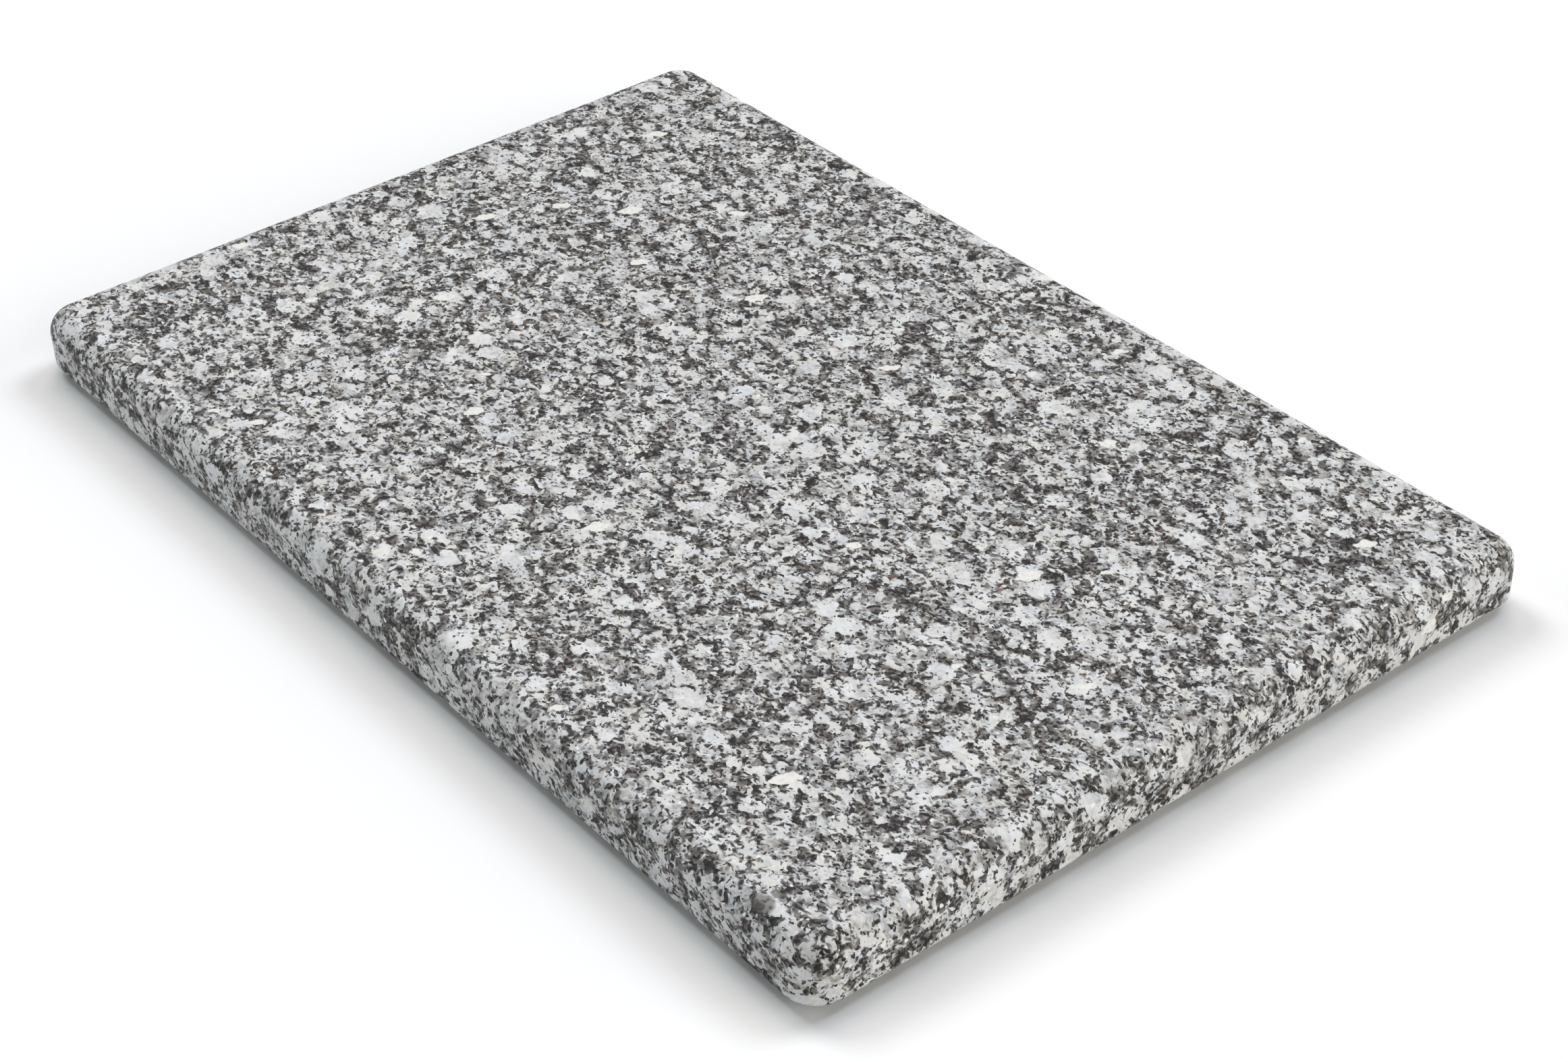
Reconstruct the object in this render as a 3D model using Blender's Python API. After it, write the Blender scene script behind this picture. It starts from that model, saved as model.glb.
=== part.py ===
"""Granite slab for leatherwork: a thick ground and polished stone plate, raised off the bench on
four stick-on rubber feet.

Everything is in metres with +Z up. The origin is the point of the bench below the middle of the
slab: the feet stand on z = 0. X runs along the slab's length and Y along its width. The front is
the -Y side and the left is the -X side.
"""

import math

import bmesh
import bpy

# Stone plate
SLAB_LENGTH = 0.300
SLAB_WIDTH = 0.200
SLAB_THICKNESS = 0.015
TOP_EDGE_RADIUS = 0.006
BOTTOM_EDGE_RADIUS = 0.0015
# The corners are ground by hand, and the one at the rear right is left tighter than the others.
# Each radius is larger than the top edge's, so that the rolled edge can follow it round.
CORNER_RADII = {
    ("rear", "right"): 0.0065,
    ("rear", "left"): 0.008,
    ("front", "left"): 0.008,
    ("front", "right"): 0.008,
}

# Stick-on feet
FOOT_DIAMETER = 0.016
FOOT_HEIGHT = 0.0012
FOOT_TAPER = 0.0004
FOOT_EDGE_RADIUS = 0.0003
FOOT_INSET = 0.025
ADHESIVE_DIAMETER = 0.0148
ADHESIVE_THICKNESS = 0.0002

# Space left between two pieces that touch
TOUCH_GAP = 0.0003

FOOT_TOP = FOOT_HEIGHT
ADHESIVE_BOTTOM = FOOT_TOP + TOUCH_GAP
SLAB_BOTTOM = ADHESIVE_BOTTOM + ADHESIVE_THICKNESS + TOUCH_GAP
SLAB_TOP = SLAB_BOTTOM + SLAB_THICKNESS

# Smoothness of the round shapes
CORNER_STEPS = 8
TOP_EDGE_STEPS = 7
BOTTOM_EDGE_STEPS = 3
FOOT_SEGMENTS = 32
FOOT_EDGE_STEPS = 2
SHARP_ANGLE = math.radians(30)

QUARTER_TURN = math.pi / 2
SIDE_X = {"right": 1, "left": -1}
SIDE_Y = {"rear": 1, "front": -1}


def clear_scene():
    for obj in list(bpy.data.objects):
        bpy.data.objects.remove(obj)


def make_material(name, colour, roughness, metallic=0.0):
    material = bpy.data.materials.new(name)
    material.use_nodes = True
    shader = material.node_tree.nodes["Principled BSDF"]
    shader.inputs["Base Color"].default_value = (*colour, 1.0)
    shader.inputs["Roughness"].default_value = roughness
    shader.inputs["Metallic"].default_value = metallic
    return material


def rounded_plan(inset):
    """Points of the slab's plan outline, anticlockwise, moved in from its sides by the inset."""
    points = []
    for turn, ((row, side), radius) in enumerate(CORNER_RADII.items()):
        arc = radius - inset
        centre_x = SIDE_X[side] * (SLAB_LENGTH / 2 - inset - arc)
        centre_y = SIDE_Y[row] * (SLAB_WIDTH / 2 - inset - arc)
        for step in range(CORNER_STEPS + 1):
            angle = QUARTER_TURN * (turn + step / CORNER_STEPS)
            points.append((centre_x + arc * math.cos(angle), centre_y + arc * math.sin(angle)))
    return points


def circle_plan(radius):
    turns = [2 * math.pi * step / FOOT_SEGMENTS for step in range(FOOT_SEGMENTS)]
    return [(radius * math.cos(angle), radius * math.sin(angle)) for angle in turns]


def slab_levels():
    """(inset, height) of the slab's outlines from its underside up to its working face."""
    levels = []
    for step in range(BOTTOM_EDGE_STEPS + 1):
        angle = QUARTER_TURN * step / BOTTOM_EDGE_STEPS
        inset = BOTTOM_EDGE_RADIUS * (1 - math.sin(angle))
        levels.append((inset, BOTTOM_EDGE_RADIUS * (1 - math.cos(angle))))
    for step in range(TOP_EDGE_STEPS + 1):
        angle = QUARTER_TURN * step / TOP_EDGE_STEPS
        inset = TOP_EDGE_RADIUS * (1 - math.cos(angle))
        levels.append((inset, SLAB_THICKNESS - TOP_EDGE_RADIUS * (1 - math.sin(angle))))
    return levels


def foot_levels():
    """(radius, height) of a foot's circles: a rounded lower edge, then a side that leans out."""
    lower_radius = FOOT_DIAMETER / 2 - FOOT_TAPER
    levels = []
    for step in range(FOOT_EDGE_STEPS + 1):
        angle = QUARTER_TURN * step / FOOT_EDGE_STEPS
        radius = lower_radius - FOOT_EDGE_RADIUS * (1 - math.sin(angle))
        levels.append((radius, FOOT_EDGE_RADIUS * (1 - math.cos(angle))))
    levels.append((FOOT_DIAMETER / 2, FOOT_HEIGHT))
    return levels


def lofted_mesh(name, outlines):
    """A closed mesh through flat outlines of equal point count, each a (points, height) pair."""
    shape = bmesh.new()
    rings = [[shape.verts.new((x, y, height)) for x, y in points] for points, height in outlines]
    count = len(rings[0])
    for lower, upper in zip(rings, rings[1:]):
        for index in range(count):
            following = (index + 1) % count
            shape.faces.new((lower[index], lower[following], upper[following], upper[index]))
    shape.faces.new(reversed(rings[0]))
    shape.faces.new(rings[-1])
    mesh = bpy.data.meshes.new(name)
    shape.to_mesh(mesh)
    shape.free()
    mesh.shade_smooth()
    mesh.set_sharp_from_angle(angle=SHARP_ANGLE)
    return mesh


def place(name, mesh, material, location, parent):
    """Adds one object of the mesh, in its own material, held by the parent."""
    obj = bpy.data.objects.new(name, mesh)
    if not mesh.materials:
        mesh.materials.append(material)
    bpy.context.collection.objects.link(obj)
    obj.parent = parent
    obj.location = location
    return obj


def build():
    clear_scene()
    granite = make_material("granite", (0.42, 0.42, 0.42), 0.22)
    rubber = make_material("foot_rubber", (0.03, 0.03, 0.032), 0.75)
    adhesive = make_material("adhesive", (0.62, 0.58, 0.46), 0.45)

    base = bpy.data.objects.new("slab_base", None)
    bpy.context.collection.objects.link(base)

    slab_mesh = lofted_mesh("granite_slab", [(rounded_plan(inset), z) for inset, z in slab_levels()])
    place("granite_slab", slab_mesh, granite, (0, 0, SLAB_BOTTOM), base)

    foot_mesh = lofted_mesh("foot", [(circle_plan(radius), z) for radius, z in foot_levels()])
    disc = circle_plan(ADHESIVE_DIAMETER / 2)
    adhesive_mesh = lofted_mesh("adhesive_disc", [(disc, 0), (disc, ADHESIVE_THICKNESS)])
    for row, side in CORNER_RADII:
        foot_x = SIDE_X[side] * (SLAB_LENGTH / 2 - FOOT_INSET)
        foot_y = SIDE_Y[row] * (SLAB_WIDTH / 2 - FOOT_INSET)
        foot = place(f"foot_{row}_{side}", foot_mesh, rubber, (foot_x, foot_y, 0), base)
        place(f"adhesive_disc_{row}_{side}", adhesive_mesh, adhesive, (0, 0, ADHESIVE_BOTTOM), foot)


build()
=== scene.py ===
"""Looks of a leatherworker's granite slab: a polished stone plate on four stick-on rubber feet.

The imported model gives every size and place. The stone is grown here with Geometry Nodes from its
outline and its edge profile, and its minerals are one solid pattern, so they run on round the
edges. All lengths are in metres unless a name says otherwise.
"""

from __future__ import annotations

import logging
import math
from dataclasses import dataclass
from enum import Enum

import bmesh
import bpy
from mathutils import Matrix, Vector

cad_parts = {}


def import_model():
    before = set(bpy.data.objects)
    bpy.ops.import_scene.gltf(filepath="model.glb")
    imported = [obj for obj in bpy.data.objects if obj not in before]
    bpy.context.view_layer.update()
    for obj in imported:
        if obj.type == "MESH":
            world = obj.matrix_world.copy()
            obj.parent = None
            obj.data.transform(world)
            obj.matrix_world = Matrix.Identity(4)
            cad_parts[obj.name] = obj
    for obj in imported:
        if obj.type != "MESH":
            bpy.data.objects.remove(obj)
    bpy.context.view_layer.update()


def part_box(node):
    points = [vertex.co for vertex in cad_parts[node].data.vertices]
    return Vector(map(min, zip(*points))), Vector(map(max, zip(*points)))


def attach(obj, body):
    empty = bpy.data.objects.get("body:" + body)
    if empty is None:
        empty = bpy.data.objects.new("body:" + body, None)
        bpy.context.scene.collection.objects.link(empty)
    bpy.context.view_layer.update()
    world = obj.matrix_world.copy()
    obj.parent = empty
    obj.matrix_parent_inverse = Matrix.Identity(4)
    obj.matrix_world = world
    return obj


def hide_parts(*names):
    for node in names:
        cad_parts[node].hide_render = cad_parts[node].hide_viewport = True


LOG = logging.getLogger("granite_slab")
MM = 0.001
PER_MM = 1000.0

Colour = tuple[float, float, float]
Point = tuple[float, float, float]
Limits = tuple[float, float]


class Cut(Enum):
    """How a face of the stone was worked."""

    POLISHED = "polished"
    SAWN = "sawn"


class NodeSheet:
    """Adds and wires the nodes of one tree, shader or geometry."""

    def __init__(self, tree: bpy.types.NodeTree) -> None:
        """Starts on a tree, which may already hold nodes.

        Args:
            tree: The tree that the nodes go into.
        """
        self.tree = tree

    def add(self, kind: str, inputs: dict[str | int, object] | None = None,
            **settings: object) -> bpy.types.Node:
        """Adds one node.

        Args:
            kind: The node's type name in Blender.
            inputs: Socket name or number to a value, or to the output socket that feeds it.
            **settings: Properties of the node, such as operation.

        Returns:
            The new node.
        """
        node = self.tree.nodes.new(kind)
        for name, value in settings.items():
            setattr(node, name, value)
        for key, value in (inputs or {}).items():
            self.feed(node.inputs[key], value)
        return node

    def feed(self, socket: bpy.types.NodeSocket, value: object) -> None:
        """Gives an input socket its value.

        Args:
            socket: The input socket.
            value: A plain value, or an output socket to link from.
        """
        if isinstance(value, bpy.types.NodeSocket):
            self.tree.links.new(value, socket)
        else:
            socket.default_value = value

    def math(self, operation: str, first: object, second: object = 0.0) -> bpy.types.NodeSocket:
        """Adds a Math node and gives its result socket."""
        return self.add("ShaderNodeMath", {0: first, 1: second}, operation=operation).outputs[0]

    def total(self, *parts: tuple[bpy.types.NodeSocket, float]) -> bpy.types.NodeSocket:
        """Adds up fields, each times its weight.

        Args:
            *parts: Pairs of a field's socket and its weight.

        Returns:
            The sum's socket.
        """
        terms = [part if weight == 1.0 else self.math("MULTIPLY", part, weight)
                 for part, weight in parts]
        result = terms[0]
        for term in terms[1:]:
            result = self.math("ADD", result, term)
        return result

    def vector(self, operation: str, first: object, second: object = (0.0, 0.0, 0.0),
               scale: object = 1.0) -> bpy.types.NodeSocket:
        """Adds a Vector Math node.

        Args:
            operation: The node's operation.
            first: The first vector.
            second: The second vector, where the operation takes one.
            scale: The factor, where the operation is SCALE.

        Returns:
            The vector result's socket.
        """
        node = self.add("ShaderNodeVectorMath", {0: first, 1: second}, operation=operation)
        if operation == "SCALE":
            self.feed(node.inputs["Scale"], scale)
        return node.outputs[0]

    def band(self, value: object, low: float, high: float, start: object = 0.0,
             end: object = 1.0) -> bpy.types.NodeSocket:
        """Adds a smooth step between two values of a field.

        Args:
            value: The field's socket.
            low: Where the step starts.
            high: Where the step ends.
            start: The result below the step.
            end: The result above it.

        Returns:
            The result socket.
        """
        node = self.add(
            "ShaderNodeMapRange",
            {"Value": value, "From Min": low, "From Max": high, "To Min": start, "To Max": end},
            interpolation_type="SMOOTHSTEP",
        )
        return node.outputs["Result"]

    def noise(self, where: object, grain_mm: float, detail: float = 2.0, roughness: float = 0.5,
              colour: bool = False) -> bpy.types.NodeSocket:
        """Adds a 3-D noise on coordinates in millimetres.

        Args:
            where: The coordinates' socket.
            grain_mm: Size of the largest blobs.
            detail: Number of finer octaves.
            roughness: Strength of each octave against the last.
            colour: True for three independent values, False for one.

        Returns:
            The noise's socket.
        """
        node = self.add(
            "ShaderNodeTexNoise",
            {"Vector": where, "Scale": 1.0 / grain_mm, "Detail": detail, "Roughness": roughness},
        )
        return node.outputs["Color" if colour else "Fac"]

    def cells(self, where: object, cell_mm: float, **settings: object) -> bpy.types.Node:
        """Adds a 3-D Voronoi pattern on coordinates in millimetres.

        Args:
            where: The coordinates' socket.
            cell_mm: Size of a cell.
            **settings: Properties of the node, such as feature or distance.

        Returns:
            The pattern's node.
        """
        return self.add("ShaderNodeTexVoronoi", {"Vector": where, "Scale": 1.0 / cell_mm}, **settings)

    def soft_cells(self, where: object, cell_mm: float,
                   smoothness: float) -> list[bpy.types.NodeSocket]:
        """Adds a Voronoi pattern whose cells run into each other.

        Args:
            where: The coordinates' socket, in millimetres.
            cell_mm: Size of a cell.
            smoothness: How far the cells run together, from 0 to 1.

        Returns:
            The sockets of three independent values, each even within a cell.
        """
        node = self.cells(where, cell_mm, feature="SMOOTH_F1")
        node.inputs["Smoothness"].default_value = smoothness
        return self.parts_of(node.outputs["Color"])

    def parts_of(self, colour: bpy.types.NodeSocket) -> list[bpy.types.NodeSocket]:
        """Splits a colour into its three channels."""
        return list(self.add("ShaderNodeSeparateColor", {0: colour}).outputs)

    def mix(self, factor: object, first: object, second: object) -> bpy.types.NodeSocket:
        """Adds a colour mix.

        Args:
            factor: Share of the second colour.
            first: The first colour, or its socket.
            second: The second colour, or its socket.

        Returns:
            The mixed colour's socket.
        """
        node = self.add("ShaderNodeMix", data_type="RGBA")
        self.feed(node.inputs["Factor"], factor)
        for place, value in ((6, first), (7, second)):
            self.feed(node.inputs[place], (*value, 1.0) if isinstance(value, tuple) else value)
        return node.outputs[2]

    def ramp(self, factor: object, places: tuple[float, ...],
             colours: tuple[Colour, ...]) -> bpy.types.NodeSocket:
        """Adds a colour ramp.

        Args:
            factor: The socket that picks the colour.
            places: Place of each stop, in rising order.
            colours: Colour of each stop.

        Returns:
            The colour's socket.
        """
        node = self.add("ShaderNodeValToRGB", {"Fac": factor})
        elements = node.color_ramp.elements
        while len(elements) < len(places):
            elements.new(0.5)
        for element, place, colour in zip(elements, places, colours):
            element.position = place
            element.color = (*colour, 1.0)
        return node.outputs["Color"]

    def solid_mm(self) -> bpy.types.NodeSocket:
        """Adds the object's own coordinates, in millimetres."""
        return self.vector("SCALE", self.add("ShaderNodeTexCoord").outputs["Object"], scale=PER_MM)

    def emboss(self, surface: bpy.types.Node, height: bpy.types.NodeSocket) -> None:
        """Gives a surface its relief.

        Args:
            surface: The Principled node.
            height: The relief's socket, in metres.
        """
        bump = self.add("ShaderNodeBump", {"Height": height, "Distance": 1.0})
        self.feed(surface.inputs["Normal"], bump.outputs["Normal"])


@dataclass(frozen=True)
class Grains:
    """Separate grains of one kind, at most one to a cell. Reach and border are shares of a cell.

    One random value of a cell says whether it holds a grain, and another says how large the grain
    is. The two change places where swapped is True, so that kinds on like cells don't coincide.
    """

    cell_mm: float
    rarity: float
    least: float
    most: float
    border: float
    outset: float = 0.0
    strength: float = 1.0
    rarity_step: float = 0.02
    swapped: bool = False

    def mask(self, sheet: NodeSheet, where: bpy.types.NodeSocket,
             wear: bpy.types.NodeSocket | None = None,
             exponent: float | None = None) -> bpy.types.NodeSocket:
        """Finds the grains.

        Args:
            sheet: The sheet of the minerals' group.
            where: The coordinates' socket, in millimetres.
            wear: What to add to each grain's reach, so that its outline comes out uneven.
            exponent: How blocky the grains are, from 2 up, or None for round ones.

        Returns:
            The socket of a field that is the strength inside a grain and 0 outside.
        """
        cells = sheet.cells(where, self.cell_mm)
        if exponent is not None:
            cells.distance = "MINKOWSKI"
            cells.inputs["Exponent"].default_value = exponent
        present, size, _ = sheet.parts_of(cells.outputs["Color"])
        if self.swapped:
            present, size = size, present
        reach = sheet.band(size, 0.0, 1.0, self.least, self.most)
        inside = sheet.math("SUBTRACT", reach, cells.outputs["Distance"])
        if wear is not None:
            inside = sheet.math("ADD", inside, wear)
        body = sheet.band(inside, -self.outset, self.border, 0.0, self.strength)
        chosen = sheet.band(present, self.rarity, self.rarity + self.rarity_step)
        return sheet.math("MULTIPLY", body, chosen)


@dataclass(frozen=True)
class Minerals:
    """The stone's solid pattern. Grain sizes are in millimetres, colours are linear."""

    foliation_turn: float = math.radians(20.0)
    foliation_stretch: Point = (0.90, 1.06, 1.0)
    bend_mm: float = 2.4
    bend_reach_mm: float = 1.7
    fray_mm: float = 0.75
    fray_reach_mm: float = 0.40

    crystal_mm: float = 3.3
    mottle_mm: float = 1.0
    vein_mm: float = 2.4
    crystal_weight: float = 0.42
    mottle_weight: float = 0.8
    vein_weight: float = 0.8
    lath_paleness: float = 0.16
    pale_range: Limits = (0.40, 1.60)
    pale_places: tuple[float, ...] = (0.03, 0.22, 0.42, 0.70, 0.96)

    swell_mm: float = 15.0
    smoky_mm: float = 3.4
    ground_mm: float = 1.15
    fleck_mm: float = 0.85
    tone_weight: float = 0.14
    swell_weight: float = 0.22
    ground_weight: float = 0.62
    smoke_weight: float = 2.0
    fleck_weight: float = 0.35
    lath_clearing: float = -0.42
    dark_range: Limits = (1.70, 2.70)
    dark_places: tuple[float, ...] = (0.0, 0.18, 0.55, 0.95)
    dark_onset: Limits = (1.74, 1.94)

    grit_mm: float = 0.60
    grit_weight: float = 0.90
    grit_gathering: float = 0.48
    grit_onset: Limits = (1.43, 1.59)
    grit_fading: Limits = (0.40, 0.66)
    grit_least_depth: float = 0.76

    tint_mm: float = 1.7
    tint_tone: float = 0.25
    tint_onset: Limits = (0.42, 0.70)

    block_turn: Point = (0.5, 0.3, 0.9)
    block_stretch: Point = (1.1, 0.55, 0.9)
    block_exponent: float = 3.5
    block_wear: float = 0.10
    block_wear_mm: float = 1.6
    block_mottle_mm: float = 0.9
    block_mottle_onset: Limits = (0.42, 0.74)

    black: Colour = (0.0085, 0.0062, 0.0062)
    biotite: Colour = (0.034, 0.031, 0.029)
    smoky: Colour = (0.100, 0.091, 0.084)
    taupe: Colour = (0.186, 0.174, 0.164)
    quartz: Colour = (0.326, 0.324, 0.322)
    feldspar: Colour = (0.520, 0.522, 0.525)
    milky: Colour = (0.605, 0.606, 0.607)
    white: Colour = (0.685, 0.683, 0.678)
    glint: Colour = (0.750, 0.748, 0.742)
    rust: Colour = (0.150, 0.070, 0.045)
    clot: Colour = (0.080, 0.068, 0.055)
    cream: Colour = (0.745, 0.732, 0.680)
    warm: Colour = (1.025, 1.000, 0.945)
    cool: Colour = (0.983, 1.000, 1.022)

    laths: Grains = Grains(6.5, rarity=0.50, least=0.22, most=0.55, border=0.12, outset=0.03)
    specks: Grains = Grains(1.25, rarity=0.48, least=0.10, most=0.23, border=0.13, rarity_step=0.04)
    glints: Grains = Grains(1.5, rarity=0.91, least=0.12, most=0.36, border=0.14)
    rusts: Grains = Grains(5.0, rarity=0.80, least=0.06, most=0.17, border=0.07, strength=0.85)
    clots: Grains = Grains(26.0, rarity=0.60, least=0.05, most=0.11, border=0.04, strength=0.75)
    blocks: Grains = Grains(9.0, rarity=0.59, least=0.095, most=0.255, border=0.025,
                            rarity_step=0.01, swapped=True)

    def group(self) -> bpy.types.NodeTree:
        """Builds the shader group, or finds it if it is already there.

        Returns:
            A group from a Vector in metres to a Colour, a Mafic mask and a Grain value.
        """
        name = "granite_minerals"
        if name in bpy.data.node_groups:
            return bpy.data.node_groups[name]
        tree = bpy.data.node_groups.new(name, "ShaderNodeTree")
        for socket, way, kind in (("Vector", "INPUT", "Vector"), ("Colour", "OUTPUT", "Color"),
                                  ("Mafic", "OUTPUT", "Float"), ("Grain", "OUTPUT", "Float")):
            tree.interface.new_socket(socket, in_out=way, socket_type=f"NodeSocket{kind}")
        sheet = NodeSheet(tree)
        entry = sheet.add("NodeGroupInput")
        where = self._in_millimetres(sheet, entry.outputs["Vector"])
        bent = self._displaced(sheet, where, self.bend_mm, self.bend_reach_mm)
        frayed = self._displaced(sheet, bent, self.fray_mm, self.fray_reach_mm)
        crystals = sheet.cells(frayed, self.crystal_mm)
        pick, tone, shade = sheet.parts_of(crystals.outputs["Color"])
        lath = self.laths.mask(sheet, frayed)

        colour = self._pale(sheet, bent, frayed, pick, lath)
        fleck = sheet.noise(frayed, self.fleck_mm, 2.0, 0.6)
        share = self._dark_share(sheet, where, bent, frayed, tone, fleck, lath)
        dark = sheet.ramp(sheet.band(share, *self.dark_range), self.dark_places,
                          (self.quartz, self.taupe, self.smoky, self.biotite))
        colour = sheet.mix(sheet.band(share, *self.dark_onset), colour, dark)
        grit = sheet.total((sheet.soft_cells(frayed, self.grit_mm, 0.25)[1], self.grit_weight),
                           (share, self.grit_gathering))
        mafic = sheet.band(grit, *self.grit_onset)
        depth = sheet.band(fleck, *self.grit_fading, 1.0, self.grit_least_depth)
        colour = sheet.mix(sheet.math("MULTIPLY", mafic, depth), colour, self.black)
        speck = self.specks.mask(sheet, frayed)
        colour = sheet.mix(speck, colour, self.black)

        colour = self._tinted(sheet, frayed, tone, colour)
        for grains, paint in ((self.glints, self.glint), (self.rusts, self.rust),
                              (self.clots, self.clot)):
            colour = sheet.mix(grains.mask(sheet, frayed), colour, paint)
        colour = self._with_blocks(sheet, where, frayed, colour)
        sheet.add("NodeGroupOutput", {"Colour": colour, "Grain": shade,
                                      "Mafic": sheet.math("MAXIMUM", mafic, speck)})
        return tree

    def _in_millimetres(self, sheet: NodeSheet, where: bpy.types.NodeSocket) -> bpy.types.NodeSocket:
        """Turns and stretches the coordinates along the foliation.

        Args:
            sheet: The group's sheet.
            where: The coordinates' socket, in metres.

        Returns:
            The coordinates' socket, in millimetres.
        """
        scale = tuple(PER_MM * part for part in self.foliation_stretch)
        turn = (0.0, 0.0, self.foliation_turn)
        node = sheet.add("ShaderNodeMapping", {"Vector": where, "Rotation": turn, "Scale": scale})
        return node.outputs[0]

    def _displaced(self, sheet: NodeSheet, where: bpy.types.NodeSocket, grain_mm: float,
                   reach_mm: float) -> bpy.types.NodeSocket:
        """Pushes the coordinates about by a noise, so that grain edges come out irregular.

        Args:
            sheet: The group's sheet.
            where: The coordinates' socket.
            grain_mm: Size of the pushes' blobs.
            reach_mm: Range of the pushes.

        Returns:
            The new coordinates' socket.
        """
        push = sheet.noise(where, grain_mm, 1.0, 0.5, colour=True)
        push = sheet.vector("SUBTRACT", push, (0.5, 0.5, 0.5))
        push = sheet.vector("SCALE", push, scale=reach_mm)
        return sheet.vector("ADD", where, push)

    def _pale(self, sheet: NodeSheet, bent: bpy.types.NodeSocket, frayed: bpy.types.NodeSocket,
              pick: bpy.types.NodeSocket, lath: bpy.types.NodeSocket) -> bpy.types.NodeSocket:
        """Colours the quartz and feldspar that make up most of the stone.

        Args:
            sheet: The group's sheet.
            bent: The bent coordinates.
            frayed: The bent and frayed coordinates.
            pick: A value of its own for each crystal.
            lath: The mask of the larger pale crystals.

        Returns:
            The colour's socket.
        """
        light = sheet.total((pick, self.crystal_weight),
                            (sheet.noise(frayed, self.mottle_mm), self.mottle_weight),
                            (sheet.noise(bent, self.vein_mm, 2.0, 0.55), self.vein_weight),
                            (lath, self.lath_paleness))
        return sheet.ramp(sheet.band(light, *self.pale_range), self.pale_places,
                          (self.taupe, self.quartz, self.feldspar, self.milky, self.white))

    def _dark_share(self, sheet: NodeSheet, where: bpy.types.NodeSocket,
                    bent: bpy.types.NodeSocket, frayed: bpy.types.NodeSocket,
                    tone: bpy.types.NodeSocket, fleck: bpy.types.NodeSocket,
                    lath: bpy.types.NodeSocket) -> bpy.types.NodeSocket:
        """Says how strongly the dark minerals gather at each point.

        Args:
            sheet: The group's sheet.
            where: The plain coordinates.
            bent: The bent coordinates.
            frayed: The bent and frayed coordinates.
            tone: A second value for each crystal.
            fleck: The fine noise that breaks up the dark grains.
            lath: The mask of the larger pale crystals, which hold few dark grains.

        Returns:
            The field's socket.
        """
        smoke = sheet.total((sheet.noise(bent, self.smoky_mm, 2.5, 0.58), 1.0),
                            (tone, self.tone_weight),
                            (sheet.noise(where, self.swell_mm, 1.0), self.swell_weight))
        ground = sheet.soft_cells(frayed, self.ground_mm, 0.4)[0]
        return sheet.total((ground, self.ground_weight), (smoke, self.smoke_weight),
                           (fleck, self.fleck_weight), (lath, self.lath_clearing))

    def _tinted(self, sheet: NodeSheet, frayed: bpy.types.NodeSocket, tone: bpy.types.NodeSocket,
                colour: bpy.types.NodeSocket) -> bpy.types.NodeSocket:
        """Warms or cools each grain a little.

        Args:
            sheet: The group's sheet.
            frayed: The bent and frayed coordinates.
            tone: A value of its own for each crystal.
            colour: The colour to tint.

        Returns:
            The tinted colour's socket.
        """
        drift = sheet.noise(frayed, self.tint_mm, 2.0, 0.6)
        lean = sheet.total((drift, 1.0), (tone, self.tint_tone))
        tint = sheet.mix(sheet.band(lean, *self.tint_onset), self.warm, self.cool)
        return sheet.vector("MULTIPLY", colour, tint)

    def _with_blocks(self, sheet: NodeSheet, where: bpy.types.NodeSocket,
                     frayed: bpy.types.NodeSocket,
                     colour: bpy.types.NodeSocket) -> bpy.types.NodeSocket:
        """Adds the sparse, blocky cream crystals over a colour.

        Args:
            sheet: The group's sheet.
            where: The plain coordinates.
            frayed: The bent and frayed coordinates.
            colour: The colour beneath.

        Returns:
            The new colour's socket.
        """
        placed = sheet.add("ShaderNodeMapping", {"Vector": frayed, "Rotation": self.block_turn,
                                                 "Scale": self.block_stretch})
        wear = sheet.math("MULTIPLY", sheet.noise(where, self.block_wear_mm), -self.block_wear)
        mask = self.blocks.mask(sheet, placed.outputs[0], wear, self.block_exponent)
        mottle = sheet.band(sheet.noise(where, self.block_mottle_mm), *self.block_mottle_onset)
        return sheet.mix(mask, colour, sheet.mix(mottle, self.cream, self.milky))


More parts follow.
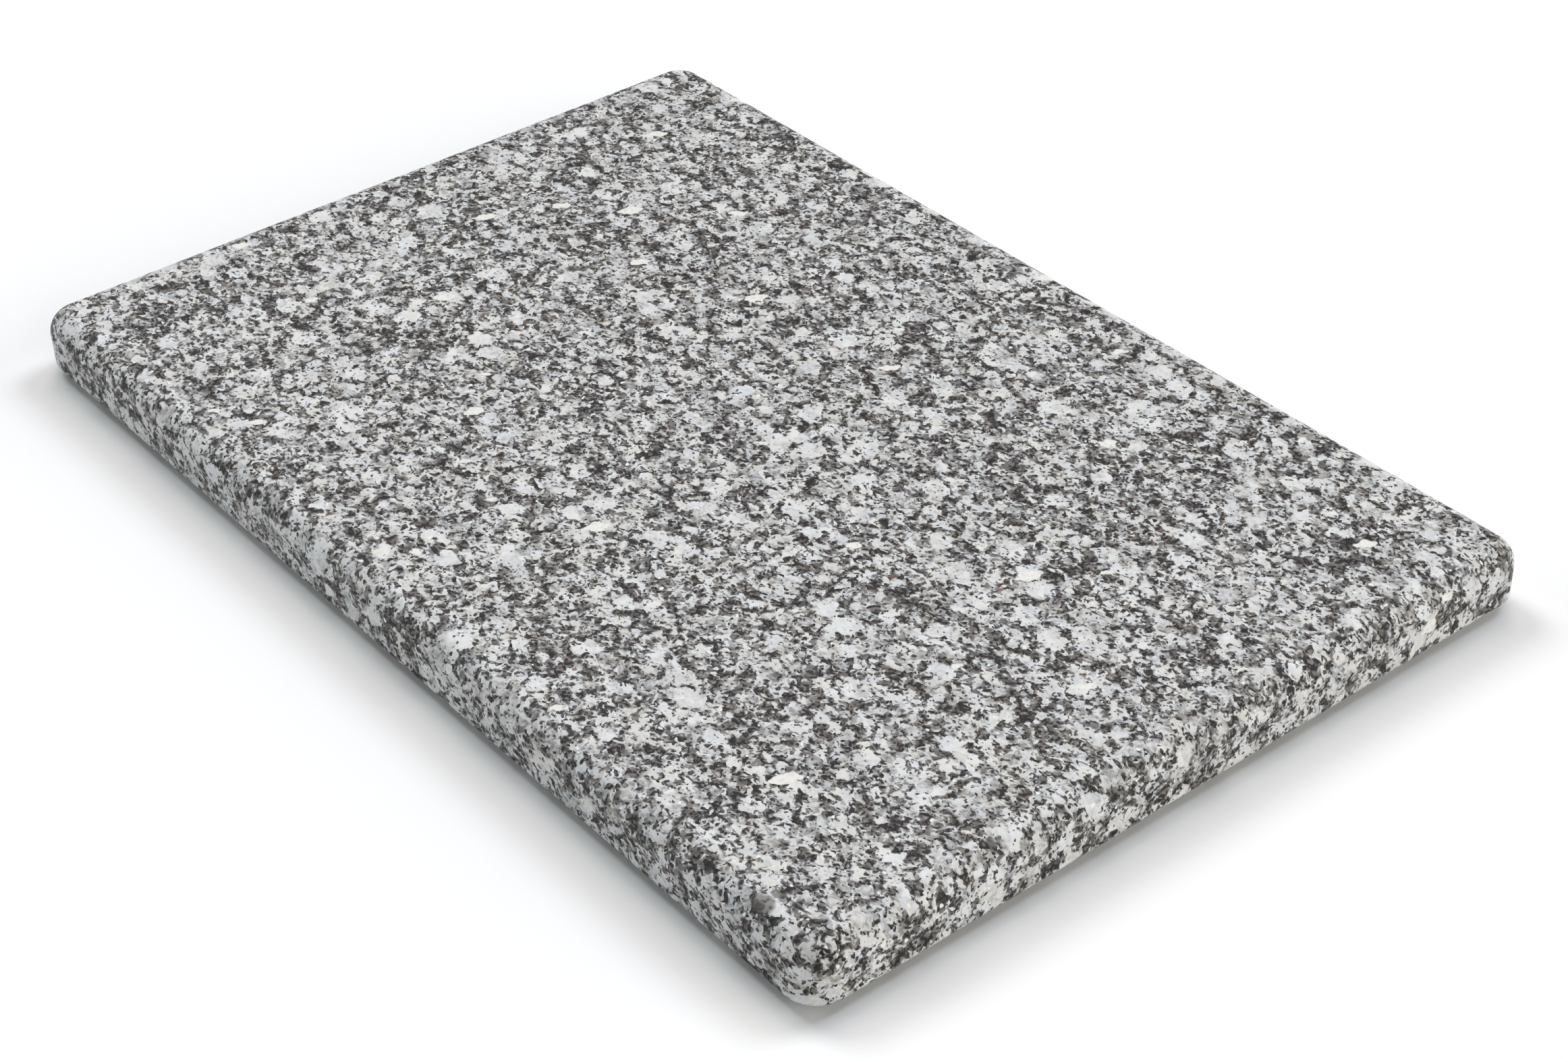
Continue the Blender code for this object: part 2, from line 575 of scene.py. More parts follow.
@dataclass(frozen=True)
class StoneFinish:
    """One cut face of the stone: what the pads or the saw leave on its minerals."""

    cut: Cut
    specular: float
    gloss: float
    mica_gloss: float
    pit_mm: float
    powder: float = 0.0
    drag_mm: float = 0.0
    haze_mm: float = 9.0
    haze_smear: Limits = (-0.03, 0.05)
    pit_grain_mm: float = 0.35
    grain_step: float = 0.18
    drag_spacing_mm: float = 1.1
    drag_stretch: Point = (0.02, 1.0, 1.0)
    dust: Colour = (0.36, 0.355, 0.345)

    def material(self) -> bpy.types.Material:
        """Builds the material of this cut.

        Returns:
            The material, named after the cut.
        """
        material, sheet, surface = new_finish(f"granite_{self.cut.value}", self.specular)
        where = sheet.add("ShaderNodeTexCoord").outputs["Object"]
        minerals = sheet.add("ShaderNodeGroup", node_tree=Minerals().group())
        sheet.feed(minerals.inputs["Vector"], where)
        mm = sheet.vector("SCALE", where, scale=PER_MM)
        colour = minerals.outputs["Colour"]
        mafic = minerals.outputs["Mafic"]
        haze = sheet.noise(mm, self.haze_mm, 3.0, 0.6)
        pits = sheet.math("MULTIPLY", mafic, sheet.noise(mm, self.pit_grain_mm, 2.0, 0.6))
        relief = sheet.total((pits, -self.pit_mm * MM),
                             (minerals.outputs["Grain"], self.grain_step * self.pit_mm * MM))
        if self.cut is Cut.SAWN:
            dusty = sheet.band(haze, 0.2, 0.8, self.powder * 0.75, self.powder)
            colour = sheet.mix(dusty, colour, self.dust)
            relief = sheet.math("ADD", relief, self._drag_lines(sheet, mm))
        sheet.feed(surface.inputs["Base Color"], colour)
        rough = sheet.band(mafic, 0.0, 1.0, self.gloss, self.mica_gloss)
        smear = sheet.band(haze, 0.25, 0.75, *self.haze_smear)
        sheet.feed(surface.inputs["Roughness"], sheet.math("ADD", rough, smear))
        sheet.emboss(surface, relief)
        return material

    def _drag_lines(self, sheet: NodeSheet, mm: bpy.types.NodeSocket) -> bpy.types.NodeSocket:
        """Raises the shallow parallel lines that the saw's segments leave.

        Args:
            sheet: The material's sheet.
            mm: The coordinates' socket, in millimetres.

        Returns:
            The socket of the lines' height, in metres.
        """
        stretched = sheet.vector("MULTIPLY", mm, self.drag_stretch)
        lines = sheet.noise(stretched, self.drag_spacing_mm, 3.0, 0.65)
        return sheet.math("MULTIPLY", lines, self.drag_mm * MM)


@dataclass(frozen=True)
class RubberFinish:
    """Moulded black rubber, greyed by talc and bench dust."""

    base: Colour = (0.020, 0.020, 0.021)
    dust: Colour = (0.085, 0.083, 0.080)
    gloss: float = 0.62
    worn_gloss: float = 0.82
    wear_mm: float = 2.4
    speck_mm: float = 0.3
    grain_mm: float = 0.09
    grain_height_mm: float = 0.02

    def material(self) -> bpy.types.Material:
        """Builds the rubber's material.

        Returns:
            The material.
        """
        material, sheet, surface = new_finish("foot_rubber")
        mm = sheet.solid_mm()
        wear = sheet.noise(mm, self.wear_mm, 4.0, 0.6)
        speck = sheet.noise(mm, self.speck_mm, 2.0, 0.6)
        dusty = sheet.band(sheet.math("ADD", wear, speck), 0.95, 1.35, 0.05, 0.75)
        sheet.feed(surface.inputs["Base Color"], sheet.mix(dusty, self.base, self.dust))
        rough = sheet.band(wear, 0.3, 0.7, self.gloss, self.worn_gloss)
        sheet.feed(surface.inputs["Roughness"], rough)
        grain = sheet.noise(mm, self.grain_mm)
        sheet.emboss(surface, sheet.math("MULTIPLY", grain, self.grain_height_mm * MM))
        return material


@dataclass(frozen=True)
class AdhesiveFinish:
    """Pale pressure-sensitive film, with small trapped bubbles."""

    base: Colour = (0.66, 0.64, 0.58)
    edge: Colour = (0.50, 0.48, 0.42)
    gloss: float = 0.30
    stained_gloss: float = 0.48
    stain_mm: float = 3.0
    bubble_mm: float = 0.55
    bubble_height_mm: float = 0.02

    def material(self) -> bpy.types.Material:
        """Builds the film's material.

        Returns:
            The material.
        """
        material, sheet, surface = new_finish("adhesive_film")
        mm = sheet.solid_mm()
        bubbles = sheet.cells(mm, self.bubble_mm).outputs["Distance"]
        ring = sheet.band(bubbles, 0.18, 0.30, 1.0, 0.0)
        stain = sheet.noise(mm, self.stain_mm, 3.0, 0.6)
        tone = sheet.mix(sheet.band(stain, 0.4, 0.7), self.base, self.edge)
        sheet.feed(surface.inputs["Base Color"], sheet.mix(ring, tone, self.edge))
        rough = sheet.band(stain, 0.3, 0.7, self.gloss, self.stained_gloss)
        sheet.feed(surface.inputs["Roughness"], rough)
        sheet.emboss(surface, sheet.math("MULTIPLY", ring, self.bubble_height_mm * MM))
        return material


@dataclass(frozen=True)
class PaperFinish:
    """The white background paper that the slab stands on."""

    base: Colour = (0.87, 0.87, 0.87)
    fleck: Colour = (0.865, 0.866, 0.868)
    specular: float = 0.1
    gloss: float = 0.85
    fibre_gloss: float = 0.95
    fibre_mm: float = 0.7
    fibre_height_mm: float = 0.01

    def material(self) -> bpy.types.Material:
        """Builds the paper's material.

        Returns:
            The material.
        """
        material, sheet, surface = new_finish("backdrop_paper", self.specular)
        fibre = sheet.noise(sheet.solid_mm(), self.fibre_mm, 3.0, 0.6)
        colour = sheet.mix(sheet.band(fibre, 0.3, 0.7), self.base, self.fleck)
        sheet.feed(surface.inputs["Base Color"], colour)
        rough = sheet.band(fibre, 0.3, 0.7, self.gloss, self.fibre_gloss)
        sheet.feed(surface.inputs["Roughness"], rough)
        sheet.emboss(surface, sheet.math("MULTIPLY", fibre, self.fibre_height_mm * MM))
        return material


def new_finish(name: str, specular: float = 0.5) -> tuple[bpy.types.Material, NodeSheet,
                                                          bpy.types.Node]:
    """Starts a material that has one Principled surface.

    Args:
        name: The material's name.
        specular: The surface's specular level.

    Returns:
        The material, its sheet and its Principled node.
    """
    material = bpy.data.materials.new(name)
    material.use_nodes = True
    tree = material.node_tree
    tree.nodes.clear()
    sheet = NodeSheet(tree)
    surface = sheet.add("ShaderNodeBsdfPrincipled")
    surface.inputs["Specular IOR Level"].default_value = specular
    sheet.add("ShaderNodeOutputMaterial", {"Surface": surface.outputs["BSDF"]})
    return material, sheet, surface


def put_in_scene(name: str, data: bpy.types.ID) -> bpy.types.Object:
    """Makes an object of a mesh, a lamp or a camera.

    Args:
        name: The object's name.
        data: What the object shows.

    Returns:
        The object, at the origin.
    """
    made = bpy.data.objects.new(name, data)
    bpy.context.scene.collection.objects.link(made)
    return made


class GrowthTree:
    """A Geometry Nodes tree with named inputs, which turns a starting mesh into a piece."""

    def __init__(self, name: str) -> None:
        """Starts an empty tree with a Geometry input and output.

        Args:
            name: The tree's name.
        """
        self.tree = bpy.data.node_groups.new(name, "GeometryNodeTree")
        for way in ("INPUT", "OUTPUT"):
            self.tree.interface.new_socket("Geometry", in_out=way,
                                           socket_type="NodeSocketGeometry")
        self.sheet = NodeSheet(self.tree)
        self.entry = self.sheet.add("NodeGroupInput")
        self.values: dict[str, object] = {}

    def ask(self, name: str, value: object) -> bpy.types.NodeSocket:
        """Adds a named input and keeps the value it will be set to.

        Args:
            name: The input's name.
            value: A float, an int or a material.

        Returns:
            The input's socket inside the tree.
        """
        kinds = {float: "NodeSocketFloat", int: "NodeSocketInt"}
        kind = kinds.get(type(value), "NodeSocketMaterial")
        item = self.tree.interface.new_socket(name, in_out="INPUT", socket_type=kind)
        self.values[item.identifier] = value
        return self.entry.outputs[name]

    def close(self, geometry: bpy.types.NodeSocket, material: bpy.types.NodeSocket,
              second: bpy.types.NodeSocket | None = None,
              where_second: bpy.types.NodeSocket | None = None) -> None:
        """Ends the tree in Realize Instances and Set Material.

        Args:
            geometry: The finished shape.
            material: The material of all of it.
            second: A second material, or None.
            where_second: The faces that take the second material.
        """
        real = self.sheet.add("GeometryNodeRealizeInstances", {"Geometry": geometry})
        dressed = self.sheet.add(
            "GeometryNodeSetMaterial",
            {"Geometry": real.outputs["Geometry"], "Material": material},
        )
        if second is not None:
            dressed = self.sheet.add(
                "GeometryNodeSetMaterial",
                {"Geometry": dressed.outputs["Geometry"], "Selection": where_second,
                 "Material": second},
            )
        self.sheet.add("NodeGroupOutput", {"Geometry": dressed.outputs["Geometry"]})

    def grow(self, name: str, start: bpy.types.Mesh) -> bpy.types.Object:
        """Runs the tree on a starting mesh and keeps the result as a plain mesh.

        Args:
            name: The piece's name.
            start: The mesh that the tree is given.

        Returns:
            The piece, at the origin, with no modifiers.
        """
        seed = put_in_scene(f"{name}_start", start)
        modifier = seed.modifiers.new("growth", "NODES")
        modifier.node_group = self.tree
        for identifier, value in self.values.items():
            modifier[identifier] = value
        graph = bpy.context.evaluated_depsgraph_get()
        mesh = bpy.data.meshes.new_from_object(seed.evaluated_get(graph))
        seed.modifiers.remove(modifier)
        bpy.data.objects.remove(seed)
        mesh.name = name
        return put_in_scene(name, mesh)


def keep(piece: bpy.types.Object, nodes: tuple[str, ...]) -> bpy.types.Object:
    """Fixes a piece to the frame and reports it.

    Args:
        piece: The finished piece.
        nodes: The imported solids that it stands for.

    Returns:
        The piece.
    """
    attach(piece, "root")
    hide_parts(*nodes)
    LOG.info("%s: %d faces, in place of %s", piece.name, len(piece.data.polygons),
             ", ".join(nodes))
    return piece


@dataclass
class StonePlate:
    """The slab: a rectangle with rounded corners, its rim rolled over by hand pads."""

    node: str = "granite_slab"
    corner_radius: float = 8.0 * MM
    tight_corner_radius: float = 6.5 * MM
    top_edge_radius: float = 6.0 * MM
    bottom_edge_radius: float = 1.5 * MM
    flat_reach: float = 0.4 * MM
    hand_wobble: float = 0.12 * MM
    wobble_length: float = 34.0 * MM
    rim_points: int = 960
    edge_rows: int = 56
    arc_points: int = 24
    seed: int = 11
    underside_facing: float = -0.9
    polished: StoneFinish = StoneFinish(Cut.POLISHED, specular=0.24, gloss=0.44, mica_gloss=0.54,
                                        pit_mm=0.05)
    sawn: StoneFinish = StoneFinish(Cut.SAWN, specular=0.2, gloss=0.78, mica_gloss=0.86,
                                    pit_mm=0.12, powder=0.35, drag_mm=0.10)

    def build(self) -> bpy.types.Object:
        """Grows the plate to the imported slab's box.

        Returns:
            The plate, fixed to the frame.
        """
        low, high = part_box(self.node)
        growth = GrowthTree("rolled_edge_plate")
        outline = self._outline(growth, high - low)
        profile = self._profile(growth, high.z - low.z)
        sheet = growth.sheet
        blank = sheet.add(
            "GeometryNodeMeshCylinder",
            {"Vertices": growth.ask("Rim Points", self.rim_points),
             "Side Segments": growth.ask("Edge Rows", self.edge_rows),
             "Radius": 1.0, "Depth": 1.0},
            fill_type="NGON",
        )
        place = sheet.add("GeometryNodeInputPosition").outputs["Position"]
        x, y, z = sheet.add("ShaderNodeSeparateXYZ", {0: place}).outputs
        turn = sheet.math("DIVIDE", sheet.math("ARCTAN2", y, x), 2.0 * math.pi)
        around = self._sampled(sheet, outline, sheet.math("FRACT", sheet.math("ADD", turn, 1.0)))
        up = self._sampled(sheet, profile, sheet.math("ADD", z, 0.5))
        outward = sheet.vector("CROSS_PRODUCT", around.outputs["Tangent"], (0.0, 0.0, 1.0))
        outward = sheet.vector("NORMALIZE", outward)
        reach, _, height = sheet.add("ShaderNodeSeparateXYZ", {0: up.outputs["Position"]}).outputs
        wobble = self._wobble(growth, around.outputs["Position"], height)
        reach = sheet.math("SUBTRACT", reach, wobble)
        lift = sheet.math("ADD", height, growth.ask("Base Height", low.z))
        moved = sheet.vector("ADD", around.outputs["Position"],
                             sheet.vector("SCALE", outward, scale=reach))
        lifted = sheet.add("ShaderNodeCombineXYZ", {"Z": lift}).outputs[0]
        moved = sheet.vector("ADD", moved, lifted)
        plate = sheet.add("GeometryNodeSetPosition",
                          {"Geometry": blank.outputs["Mesh"], "Position": moved})
        smooth = sheet.add("GeometryNodeSetShadeSmooth", {"Geometry": plate.outputs["Geometry"]})
        normal = sheet.add("GeometryNodeInputNormal").outputs["Normal"]
        facing = sheet.add("ShaderNodeSeparateXYZ", {0: normal}).outputs[2]
        under = sheet.math("LESS_THAN", facing, self.underside_facing)
        growth.close(
            smooth.outputs["Geometry"],
            growth.ask("Polished", self.polished.material()),
            growth.ask("Sawn", self.sawn.material()),
            under,
        )
        piece = growth.grow("stone_plate", bpy.data.meshes.new("stone_blank"))
        return keep(piece, (self.node,))

    def _outline(self, growth: GrowthTree, size: Vector) -> bpy.types.NodeSocket:
        """The plan's closed curve: a rectangle with its four corners rounded.

        Args:
            growth: The tree that it is part of.
            size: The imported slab's length, width and thickness.

        Returns:
            The curve's socket.
        """
        sheet = growth.sheet
        sides = sheet.add(
            "GeometryNodeCurvePrimitiveQuadrilateral",
            {"Width": growth.ask("Length", size.x), "Height": growth.ask("Width", size.y)},
        )
        index = sheet.add("GeometryNodeInputIndex").outputs["Index"]
        first = sheet.math("LESS_THAN", index, 0.5)
        wide = growth.ask("Corner Radius", self.corner_radius)
        tight = growth.ask("Rear Right Corner Radius", self.tight_corner_radius)
        change = sheet.math("MULTIPLY", first, sheet.math("SUBTRACT", tight, wide))
        return self._rounded(growth, sides.outputs["Curve"], sheet.math("ADD", wide, change))

    def _profile(self, growth: GrowthTree, thickness: float) -> bpy.types.NodeSocket:
        """The rim's section, from under the stone to its top, with both arrises rounded.

        Args:
            growth: The tree that it is part of.
            thickness: The stone's thickness.

        Returns:
            The curve's socket, with x outward and z up.
        """
        sheet = growth.sheet
        line = sheet.add("GeometryNodeMeshLine", {"Count": 4})
        index = sheet.add("GeometryNodeInputIndex").outputs["Index"]
        upper = sheet.math("GREATER_THAN", index, 1.5)
        middle = sheet.math("ABSOLUTE", sheet.math("SUBTRACT", index, 1.5))
        ends = sheet.math("GREATER_THAN", middle, 1.0)
        top = growth.ask("Top Edge Radius", self.top_edge_radius)
        bottom = growth.ask("Bottom Edge Radius", self.bottom_edge_radius)
        flat = sheet.math("ADD", top, growth.ask("Flat Reach", self.flat_reach))
        inward = sheet.math("MULTIPLY", ends, sheet.math("MULTIPLY", flat, -1.0))
        height = sheet.math("MULTIPLY", upper, growth.ask("Thickness", thickness))
        corners = sheet.add("ShaderNodeCombineXYZ", {"X": inward, "Z": height}).outputs[0]
        placed = sheet.add("GeometryNodeSetPosition",
                           {"Geometry": line.outputs["Mesh"], "Position": corners})
        curve = sheet.add("GeometryNodeMeshToCurve", {"Mesh": placed.outputs["Geometry"]})
        change = sheet.math("MULTIPLY", upper, sheet.math("SUBTRACT", top, bottom))
        return self._rounded(growth, curve.outputs["Curve"], sheet.math("ADD", bottom, change))

    def _rounded(self, growth: GrowthTree, curve: bpy.types.NodeSocket,
                 radius: bpy.types.NodeSocket) -> bpy.types.NodeSocket:
        """Rounds the corners of a curve by a radius that may differ from corner to corner.

        Args:
            growth: The tree that it is part of.
            curve: The curve's socket.
            radius: The radius's socket.

        Returns:
            The rounded curve's socket.
        """
        node = growth.sheet.add(
            "GeometryNodeFilletCurve",
            {"Curve": curve, "Count": self.arc_points, "Radius": radius, "Limit Radius": True},
            mode="POLY",
        )
        return node.outputs["Curve"]

    def _sampled(self, sheet: NodeSheet, curve: bpy.types.NodeSocket,
                 share: bpy.types.NodeSocket) -> bpy.types.Node:
        """Reads a curve's place and tangent at a share of its length.

        Args:
            sheet: The tree's sheet.
            curve: The curve's socket.
            share: The share's socket, from 0 to 1.

        Returns:
            The node, with Position and Tangent outputs.
        """
        return sheet.add("GeometryNodeSampleCurve", {"Curves": curve, "Factor": share},
                         mode="FACTOR", use_all_curves=True)

    def _wobble(self, growth: GrowthTree, place: bpy.types.NodeSocket,
                height: bpy.types.NodeSocket) -> bpy.types.NodeSocket:
        """How far inward the rim strays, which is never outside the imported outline.

        Args:
            growth: The tree that it is part of.
            place: The point on the outline.
            height: The point's height in the stone.

        Returns:
            The inward distance's socket.
        """
        sheet = growth.sheet
        lifted = sheet.add("ShaderNodeCombineXYZ", {"Z": sheet.math("MULTIPLY", height, 0.5)})
        noise = sheet.add(
            "ShaderNodeTexNoise",
            {"Vector": sheet.vector("ADD", place, lifted.outputs[0]),
             "W": growth.ask("Seed", float(self.seed)),
             "Scale": growth.ask("Wobble Waves", 1.0 / self.wobble_length),
             "Detail": 1.5, "Roughness": 0.45},
            noise_dimensions="4D",
        )
        near = sheet.band(noise.outputs["Fac"], 0.25, 0.75)
        return sheet.math("MULTIPLY", near, growth.ask("Hand Wobble", self.hand_wobble))


def turned(name: str, profile: list[tuple[float, float]], sides: int) -> bpy.types.Mesh:
    """Turns a profile about the upright axis into a closed mesh, its normals outward.

    Args:
        name: The mesh's name.
        profile: Radius and height of each ring, from the axis below round to the axis above.
        sides: Number of points on each ring.

    Returns:
        The mesh, shaded smooth.
    """
    shape = bmesh.new()
    rings = []
    for radius, height in profile:
        if radius == 0.0:
            rings.append([shape.verts.new((0.0, 0.0, height))])
            continue
        turns = [2.0 * math.pi * step / sides for step in range(sides)]
        rings.append([shape.verts.new((radius * math.cos(turn), radius * math.sin(turn), height))
                      for turn in turns])
    for lower, upper in zip(rings, rings[1:]):
        for step in range(sides):
            after = (step + 1) % sides
            if len(lower) == 1:
                shape.faces.new((lower[0], upper[after], upper[step]))
            elif len(upper) == 1:
                shape.faces.new((lower[step], lower[after], upper[0]))
            else:
                shape.faces.new((lower[step], lower[after], upper[after], upper[step]))
    bmesh.ops.recalc_face_normals(shape, faces=shape.faces)
    for face in shape.faces:
        face.smooth = True
    mesh = bpy.data.meshes.new(name)
    shape.to_mesh(mesh)
    shape.free()
    return mesh


@dataclass
class CornerSet:
    """Four like pieces, one near each corner under the stone."""

    nodes: tuple[str, ...]
    seed: int

    def spread(self, name: str, one: bpy.types.Mesh, material: bpy.types.Material,
               slot: str) -> bpy.types.Object:
        """Repeats a mesh at the four packed places, each turned its own way.

        Args:
            name: The piece's name.
            one: The mesh of one of them, about the upright axis.
            material: Its finish.
            slot: Not used.

        Returns:
            The piece, fixed to the frame.
        """
        centres = [(low + high) / 2.0 for low, high in map(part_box, self.nodes)]
        growth = GrowthTree(f"{name}_at_corners")
        sheet = growth.sheet
        grid = sheet.add(
            "GeometryNodeMeshGrid",
            {"Size X": growth.ask("Spacing Along", max(c.x for c in centres) * 2.0),
             "Size Y": growth.ask("Spacing Across", max(c.y for c in centres) * 2.0),
             "Vertices X": 2, "Vertices Y": 2},
        )
        turn = sheet.add("FunctionNodeRandomValue", data_type="FLOAT")
        least, most = (s for s in turn.inputs if s.type == "VALUE" and s.enabled)
        least.default_value = -math.pi
        most.default_value = math.pi
        sheet.feed(turn.inputs["Seed"], growth.ask("Turn Seed", self.seed))
        spin = next(s for s in turn.outputs if s.enabled)
        angle = sheet.add("ShaderNodeCombineXYZ", {"Z": spin}).outputs[0]
        copies = sheet.add(
            "GeometryNodeInstanceOnPoints",
            {"Points": grid.outputs["Mesh"], "Instance": growth.entry.outputs["Geometry"],
             "Rotation": angle},
        )
        growth.close(copies.outputs["Instances"], growth.ask("Finish", material))
        return keep(growth.grow(name, one), self.nodes)


def under_corners(kind: str) -> tuple[str, ...]:
    """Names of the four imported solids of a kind."""
    return tuple(f"{kind}_{row}_{side}" for row in ("rear", "front") for side in ("left", "right"))


@dataclass
class RubberFeet:
    """Low stick-on feet with a rounded lower rim, grip rings and a moulding dimple."""

    edge_radius: float = 0.3 * MM
    lean: float = 0.4 * MM
    ring_depth: float = 0.14 * MM
    rings: tuple[float, ...] = (3.0 * MM, 4.5 * MM, 6.0 * MM)
    dimple_radius: float = 1.6 * MM
    dimple_depth: float = 0.25 * MM
    groove: tuple[tuple[float, float], ...] = (
        (-0.30 * MM, 0.0), (-0.22 * MM, 0.75), (-0.12 * MM, 1.0),
        (0.12 * MM, 1.0), (0.22 * MM, 0.75), (0.30 * MM, 0.0),
    )
    upper_rim: float = 0.08 * MM
    seat: float = 0.27 * MM
    arc_steps: int = 6
    sides: int = 96
    turn_seed: int = 5
    finish: RubberFinish = RubberFinish()
    nodes: tuple[str, ...] = under_corners("foot")

    def build(self) -> bpy.types.Object:
        """Makes one foot and sets it at each corner, with its top against the film.

        Returns:
            The feet as one piece, fixed to the frame.
        """
        low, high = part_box(self.nodes[0])
        radius = (high.x - low.x) / 2.0
        one = turned("foot", self._profile(radius, low.z, high.z + self.seat), self.sides)
        corners = CornerSet(self.nodes, self.turn_seed)
        return corners.spread("rubber_feet", one, self.finish.material(), "foot_rubber")

    def _profile(self, radius: float, base: float, top: float) -> list[tuple[float, float]]:
        """Rings of one foot.

        Args:
            radius: Radius at the top.
            base: Height of the standing face.
            top: Height of the face that the film holds.

        Returns:
            Radius and height of each ring, from the axis below to the axis above.
        """
        rings = [(0.0, base + self.dimple_depth)]
        swings = [0.5 * math.pi * step / self.arc_steps for step in range(self.arc_steps + 1)]
        for swing in swings[1:]:
            rings.append((self.dimple_radius * math.sin(swing),
                          base + self.dimple_depth * math.cos(swing)))
        for ring in self.rings:
            for offset, depth in self.groove:
                rings.append((ring + offset, base + self.ring_depth * depth))
        lower = radius - self.lean
        for swing in swings:
            rings.append((lower - self.edge_radius * (1.0 - math.sin(swing)),
                          base + self.edge_radius * (1.0 - math.cos(swing))))
        shoulder = 0.3 * self.upper_rim
        rings.append((radius, top - self.upper_rim))
        rings.append((radius - shoulder, top - shoulder))
        rings.append((radius - self.upper_rim, top))
        rings.append((radius * 0.5, top))
        rings.append((0.0, top))
        return rings


@dataclass
class AdhesiveFilms:
    """Thin round films that hold the feet to the stone."""

    seat: float = 0.26 * MM
    bulge: float = 0.05 * MM
    sides: int = 96
    turn_seed: int = 9
    finish: AdhesiveFinish = AdhesiveFinish()
    nodes: tuple[str, ...] = under_corners("adhesive_disc")

    def build(self) -> bpy.types.Object:
        """Makes one film and sets it at each corner, between the foot and the stone.

        Returns:
            The films as one piece, fixed to the frame.
        """
        low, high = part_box(self.nodes[0])
        radius = (high.x - low.x) / 2.0
        base = low.z
        top = high.z + self.seat
        inset = self.bulge * 0.3
        rise = self.bulge * 0.7
        profile = [
            (0.0, base),
            (radius * 0.5, base),
            (radius - self.bulge, base),
            (radius - inset, base + rise),
            (radius, (base + top) / 2.0),
            (radius - inset, top - rise),
            (radius - self.bulge, top),
            (radius * 0.5, top),
            (0.0, top),
        ]
        one = turned("film", profile, self.sides)
        corners = CornerSet(self.nodes, self.turn_seed)
        return corners.spread("adhesive_films", one, self.finish.material(), "adhesive")


@dataclass(frozen=True)
class SoftLamp:
    """A large, far softbox: a sun lamp with a wide disc."""

    name: str
    azimuth: float
    elevation: float
    spread: float
    power: float
    tint: Colour

    def hang(self) -> None:
        """Adds the lamp, shining from its azimuth and elevation on the origin."""
        data = bpy.data.lights.new(self.name, "SUN")
        data.energy = self.power
        data.color = self.tint
        data.angle = math.radians(self.spread)
        toward = direction(self.azimuth, self.elevation)
        lamp = put_in_scene(self.name, data)
        lamp.matrix_world = toward.to_track_quat("Z", "Y").to_matrix().to_4x4()


def direction(azimuth: float, elevation: float) -> Vector:
    """Finds the way to a lamp or a camera.

    Args:
        azimuth: Degrees round from the front, rising toward the right.
        elevation: Degrees above the floor.

    Returns:
        The unit vector from the origin.
    """
    turn = math.radians(azimuth)
    rise = math.radians(elevation)
    return Vector((math.sin(turn) * math.cos(rise), -math.cos(turn) * math.cos(rise),
                   math.sin(rise)))


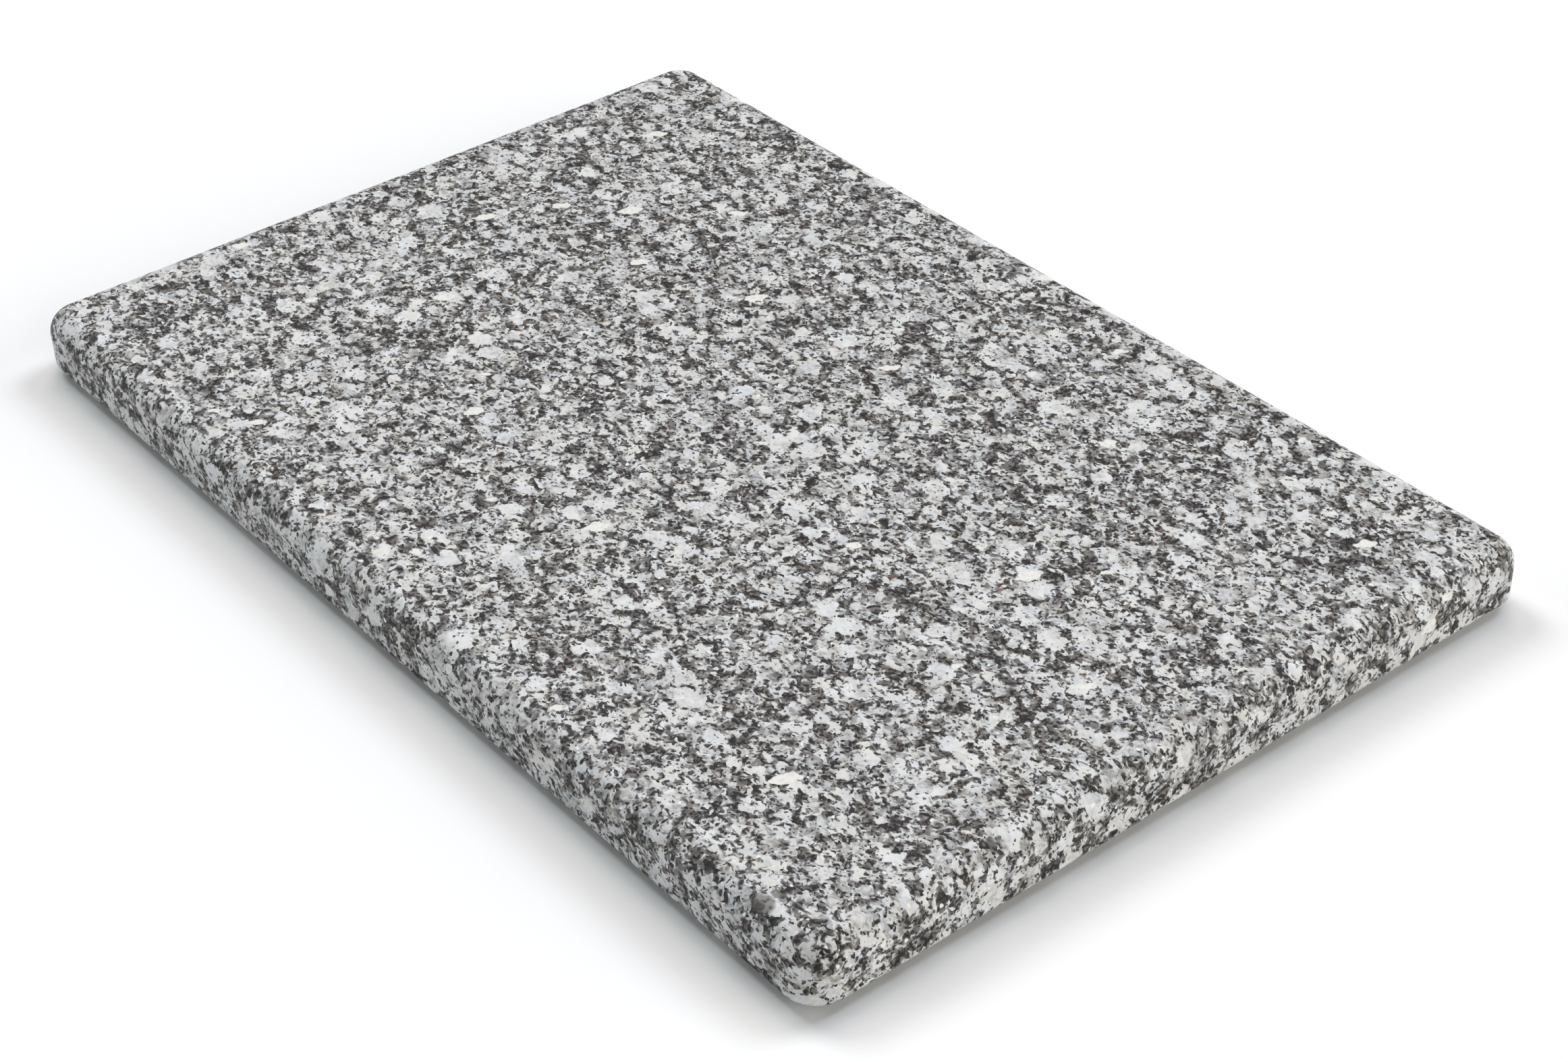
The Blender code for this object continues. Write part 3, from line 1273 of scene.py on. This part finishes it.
@dataclass
class Studio:
    """White paper, soft light from all round and the camera."""

    floor_radius: float = 6.0
    floor_sides: int = 128
    sky: Colour = (0.96, 0.98, 1.0)
    sky_power: float = 0.06
    lamps: tuple[SoftLamp, ...] = (
        SoftLamp("right_card", 90.0, 12.0, 50.0, 1.3, (1.0, 0.98, 0.92)),
        SoftLamp("right_rear_card", 135.0, 12.0, 50.0, 1.65, (1.0, 0.985, 0.93)),
        SoftLamp("front_card", 315.0, 12.0, 50.0, 1.16, (0.91, 0.98, 1.0)),
        SoftLamp("rear_softbox", 180.0, 48.0, 24.0, 1.33, (0.88, 0.93, 1.0)),
        SoftLamp("overhead_softbox", 225.0, 63.0, 24.0, 0.88, (1.0, 0.90, 0.865)),
        SoftLamp("left_softbox", 270.0, 48.0, 24.0, 1.39, (0.94, 0.98, 1.0)),
    )
    camera_azimuth: float = 52.1405
    camera_elevation: float = 35.9669
    camera_roll: float = -1.6994
    camera_distance: float = 0.69233
    camera_target: Point = (0.02413, -0.00504, 0.0)
    lens_mm: float = 69.958
    sensor_mm: float = 36.0
    nearest: float = 0.01
    farthest: float = 50.0
    paper: PaperFinish = PaperFinish()

    def build(self) -> None:
        """Lays the floor, hangs the lamps and sets the camera."""
        self._floor()
        self._sky()
        for lamp in self.lamps:
            lamp.hang()
        self._camera()
        bpy.context.scene.view_settings.view_transform = "Standard"
        LOG.info("studio: %d lamps", len(self.lamps))

    def _floor(self) -> None:
        """Lays the round paper floor at the height of the feet."""
        shape = bmesh.new()
        bmesh.ops.create_circle(shape, cap_ends=True, segments=self.floor_sides,
                              radius=self.floor_radius)
        mesh = bpy.data.meshes.new("backdrop")
        shape.to_mesh(mesh)
        shape.free()
        mesh.materials.append(self.paper.material())
        put_in_scene("backdrop", mesh)

    def _sky(self) -> None:
        """Gives the room an even, faintly cool light."""
        world = bpy.data.worlds.new("white_room")
        world.use_nodes = True
        background = world.node_tree.nodes["Background"]
        background.inputs["Color"].default_value = (*self.sky, 1.0)
        background.inputs["Strength"].default_value = self.sky_power
        bpy.context.scene.world = world

    def _camera(self) -> None:
        """Sets the camera from its angles, its roll and its distance to the target."""
        back = direction(self.camera_azimuth, self.camera_elevation)
        turn = math.radians(self.camera_azimuth)
        level = Vector((math.cos(turn), math.sin(turn), 0.0))
        upright = back.cross(level)
        roll = math.radians(self.camera_roll)
        right = level * math.cos(roll) + upright * math.sin(roll)
        up = upright * math.cos(roll) - level * math.sin(roll)
        placed = Matrix((right, up, back)).transposed().to_4x4()
        placed.translation = Vector(self.camera_target) + back * self.camera_distance
        data = bpy.data.cameras.new("camera")
        data.lens = self.lens_mm
        data.sensor_width = self.sensor_mm
        data.clip_start = self.nearest
        data.clip_end = self.farthest
        camera = put_in_scene("camera", data)
        camera.matrix_world = placed
        bpy.context.scene.camera = camera


def main() -> None:
    """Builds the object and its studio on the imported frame."""
    logging.basicConfig(level=logging.INFO, format="%(message)s")
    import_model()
    StonePlate().build()
    AdhesiveFilms().build()
    RubberFeet().build()
    Studio().build()


if __name__ == "__main__":
    main()
